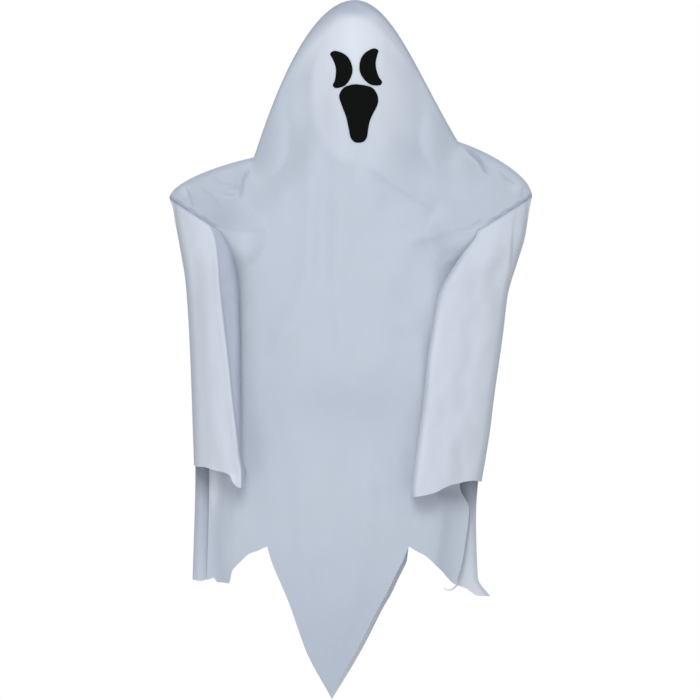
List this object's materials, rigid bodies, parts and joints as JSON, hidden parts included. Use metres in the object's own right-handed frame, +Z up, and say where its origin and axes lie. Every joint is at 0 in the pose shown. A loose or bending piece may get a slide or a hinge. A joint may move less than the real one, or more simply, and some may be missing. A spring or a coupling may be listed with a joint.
{
  "type": "hanging fabric ghost",
  "caption": "Hanging ghost decoration: pale cloth robe over an egg head, held out by a bent wire, with hanging sleeves, a pointed hem and a black felt face.",
  "frame": {"origin": "the crown of the hood, where the ghost is hung", "axes": "+Z up, front (the face) towards -Y, +X to the viewer's right"},
  "size_m": [0.778, 0.2644, 1.5],
  "materials": {
    "cloth": "matte thin cloth",
    "foam": "white foam",
    "wire": "bare galvanised wire",
    "felt": "black felt"
  },
  "bodies": {
    "root": {"robe_front": "cloth", "robe_back": "cloth", "sleeve_left": "cloth", "sleeve_right": "cloth", "head_former": "foam", "arm_wire": "wire", "eye_left": "felt", "eye_right": "felt", "mouth": "felt"}
  },
  "joints": []
}
